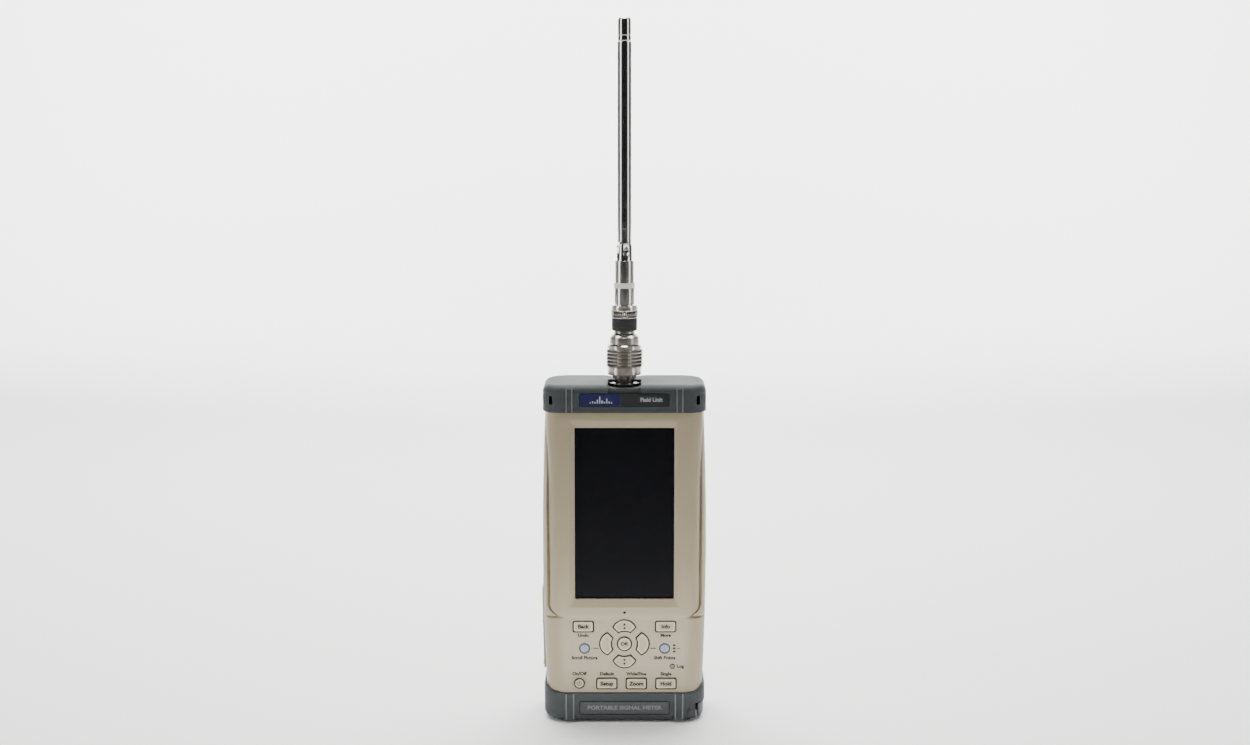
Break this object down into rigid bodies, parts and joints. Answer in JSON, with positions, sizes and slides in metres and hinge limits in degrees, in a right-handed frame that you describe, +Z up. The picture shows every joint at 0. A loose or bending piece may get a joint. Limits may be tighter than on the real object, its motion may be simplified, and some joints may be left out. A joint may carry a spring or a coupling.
{
  "type": "handheld spectrum analyzer",
  "caption": "Handheld radio-frequency spectrum analyzer: tall case with colour touch display, keypad and stylus, rubber end caps, and a jointed telescopic antenna on its top input socket.",
  "frame": {"origin": "on the surface the instrument stands on, under the middle of its base", "axes": "+Z up along the case and the antenna, +Y from the display to the back, +X to the right seen from the display"},
  "size_m": [0.0929, 0.0494, 0.3932],
  "materials": {
    "case": "fine-textured warm beige ABS",
    "cap_rubber": "slate grey moulded rubber",
    "label": "printed overlay",
    "plate": "printed grey plate",
    "black_rubber": "black rubber",
    "panel": "black touch panel over an unlit display",
    "frame_metal": "tinned or plated sheet",
    "key": "pale silicone rubber",
    "mat": "dark silicone rubber",
    "circuit": "solder-resist green",
    "coax": "copper-screened lead",
    "wrap": "shrink wrap",
    "steel": "plated steel",
    "lens": "pale frosted lens",
    "black_plastic": "black nylon",
    "chrome": "polished nickel plate",
    "insulator": "off-white PTFE",
    "gold": "gold plate"
  },
  "bodies": {
    "case": {"front_case": "case", "rear_case": "case", "battery_cover": "case", "top_bumper": "cap_rubber", "bottom_bumper": "cap_rubber", "top_label": "label", "bottom_label": "plate", "screen_gasket": "black_rubber", "base_feet": "black_rubber", "touch_panel": "panel", "lcd_module": "frame_metal", "rf_module": "frame_metal", "usb_host_socket": "frame_metal", "usb_device_socket": "frame_metal", "keypad_mat": "mat", "keypad_board": "circuit", "main_board": "circuit", "rf_lead": "coax", "battery_pack": "wrap", "battery_cover_screws": "steel", "case_screws": "steel", "navigate_lamp": "lens", "marker_lamp": "lens", "disk_lamp": "lens", "audio_socket": "black_plastic", "dc_socket": "black_plastic", "rf_jack": "chrome", "rf_jack_nut": "chrome", "adapter_body": "chrome", "rf_jack_insulator": "insulator", "rf_jack_contact": "gold"},
    "exit_key": {"exit_key": "key"},
    "status_key": {"status_key": "key"},
    "up_key": {"up_key": "key"},
    "down_key": {"down_key": "key"},
    "left_key": {"left_key": "key"},
    "right_key": {"right_key": "key"},
    "enter_key": {"enter_key": "key"},
    "power_key": {"power_key": "key"},
    "presets_key": {"presets_key": "key"},
    "view_key": {"view_key": "key"},
    "run_key": {"run_key": "key"},
    "stand": {"tilt_stand": "case"},
    "door": {"side_door": "case"},
    "stylus": {"stylus": "cap_rubber"},
    "nut": {"coupling_nut": "chrome"},
    "collar": {"bayonet_collar": "chrome", "bayonet_band": "black_rubber"},
    "swivel": {"antenna_base": "chrome", "antenna_insulator": "insulator", "elbow_clevis": "chrome", "elbow_screw": "chrome"},
    "tube_1": {"whip_foot": "chrome", "whip_tube_1": "chrome"},
    "tube_2": {"whip_tube_2": "chrome"},
    "tube_3": {"whip_tube_3": "chrome"},
    "tube_4": {"whip_tube_4": "chrome"},
    "rod": {"whip_rod": "chrome", "whip_tip": "chrome"}
  },
  "joints": [
    {"name": "exit_press", "type": "slide", "parent": "case", "child": "exit_key", "axis": [0, 1, 0], "range_m": [0, 0.001], "stiffness_N_per_m": 600, "springref_m": -0.001},
    {"name": "status_press", "type": "slide", "parent": "case", "child": "status_key", "axis": [0, 1, 0], "range_m": [0, 0.001], "stiffness_N_per_m": 600, "springref_m": -0.001},
    {"name": "up_press", "type": "slide", "parent": "case", "child": "up_key", "axis": [0, 1, 0], "range_m": [0, 0.001], "stiffness_N_per_m": 600, "springref_m": -0.001},
    {"name": "down_press", "type": "slide", "parent": "case", "child": "down_key", "axis": [0, 1, 0], "range_m": [0, 0.001], "stiffness_N_per_m": 600, "springref_m": -0.001},
    {"name": "left_press", "type": "slide", "parent": "case", "child": "left_key", "axis": [0, 1, 0], "range_m": [0, 0.001], "stiffness_N_per_m": 600, "springref_m": -0.001},
    {"name": "right_press", "type": "slide", "parent": "case", "child": "right_key", "axis": [0, 1, 0], "range_m": [0, 0.001], "stiffness_N_per_m": 600, "springref_m": -0.001},
    {"name": "enter_press", "type": "slide", "parent": "case", "child": "enter_key", "axis": [0, 1, 0], "range_m": [0, 0.001], "stiffness_N_per_m": 600, "springref_m": -0.001},
    {"name": "power_press", "type": "slide", "parent": "case", "child": "power_key", "axis": [0, 1, 0], "range_m": [0, 0.0008], "stiffness_N_per_m": 500, "springref_m": -0.001},
    {"name": "presets_press", "type": "slide", "parent": "case", "child": "presets_key", "axis": [0, 1, 0], "range_m": [0, 0.001], "stiffness_N_per_m": 600, "springref_m": -0.001},
    {"name": "view_press", "type": "slide", "parent": "case", "child": "view_key", "axis": [0, 1, 0], "range_m": [0, 0.001], "stiffness_N_per_m": 600, "springref_m": -0.001},
    {"name": "run_press", "type": "slide", "parent": "case", "child": "run_key", "axis": [0, 1, 0], "range_m": [0, 0.001], "stiffness_N_per_m": 600, "springref_m": -0.001},
    {"name": "stand_hinge", "type": "hinge", "parent": "case", "child": "stand", "pos_m": [0, 0.0204, 0.124], "axis": [1, 0, 0], "range_deg": [0, 55]},
    {"name": "door_hinge", "type": "hinge", "parent": "case", "child": "door", "pos_m": [-0.045, 0.009, 0.0505], "axis": [0, 0, -1], "range_deg": [0, 95]},
    {"name": "stylus_slide", "type": "slide", "parent": "case", "child": "stylus", "axis": [0, 0, -1], "range_m": [0, 0.09]},
    {"name": "nut_turn", "type": "hinge", "parent": "case", "child": "nut", "pos_m": [0, 0, 0.2035], "axis": [0, 0, 1], "continuous": true},
    {"name": "collar_turn", "type": "hinge", "parent": "case", "child": "collar", "pos_m": [0, 0, 0.227], "axis": [0, 0, 1], "range_deg": [0, 70]},
    {"name": "antenna_swivel", "type": "hinge", "parent": "case", "child": "swivel", "pos_m": [0, 0, 0.239], "axis": [0, 0, 1], "continuous": true},
    {"name": "antenna_elbow", "type": "hinge", "parent": "swivel", "child": "tube_1", "pos_m": [0, 0, 0.2651], "axis": [-0.2419, 0.9703, 0], "range_deg": [-90, 90]},
    {"name": "whip_slide_1", "type": "slide", "parent": "tube_1", "child": "tube_2", "axis": [0, 0, 1], "range_m": [0, 0.084]},
    {"name": "whip_slide_2", "type": "slide", "parent": "tube_2", "child": "tube_3", "axis": [0, 0, 1], "range_m": [0, 0.083]},
    {"name": "whip_slide_3", "type": "slide", "parent": "tube_3", "child": "tube_4", "axis": [0, 0, 1], "range_m": [0, 0.082]},
    {"name": "whip_slide_4", "type": "slide", "parent": "tube_4", "child": "rod", "axis": [0, 0, 1], "range_m": [0, 0.081]}
  ]
}
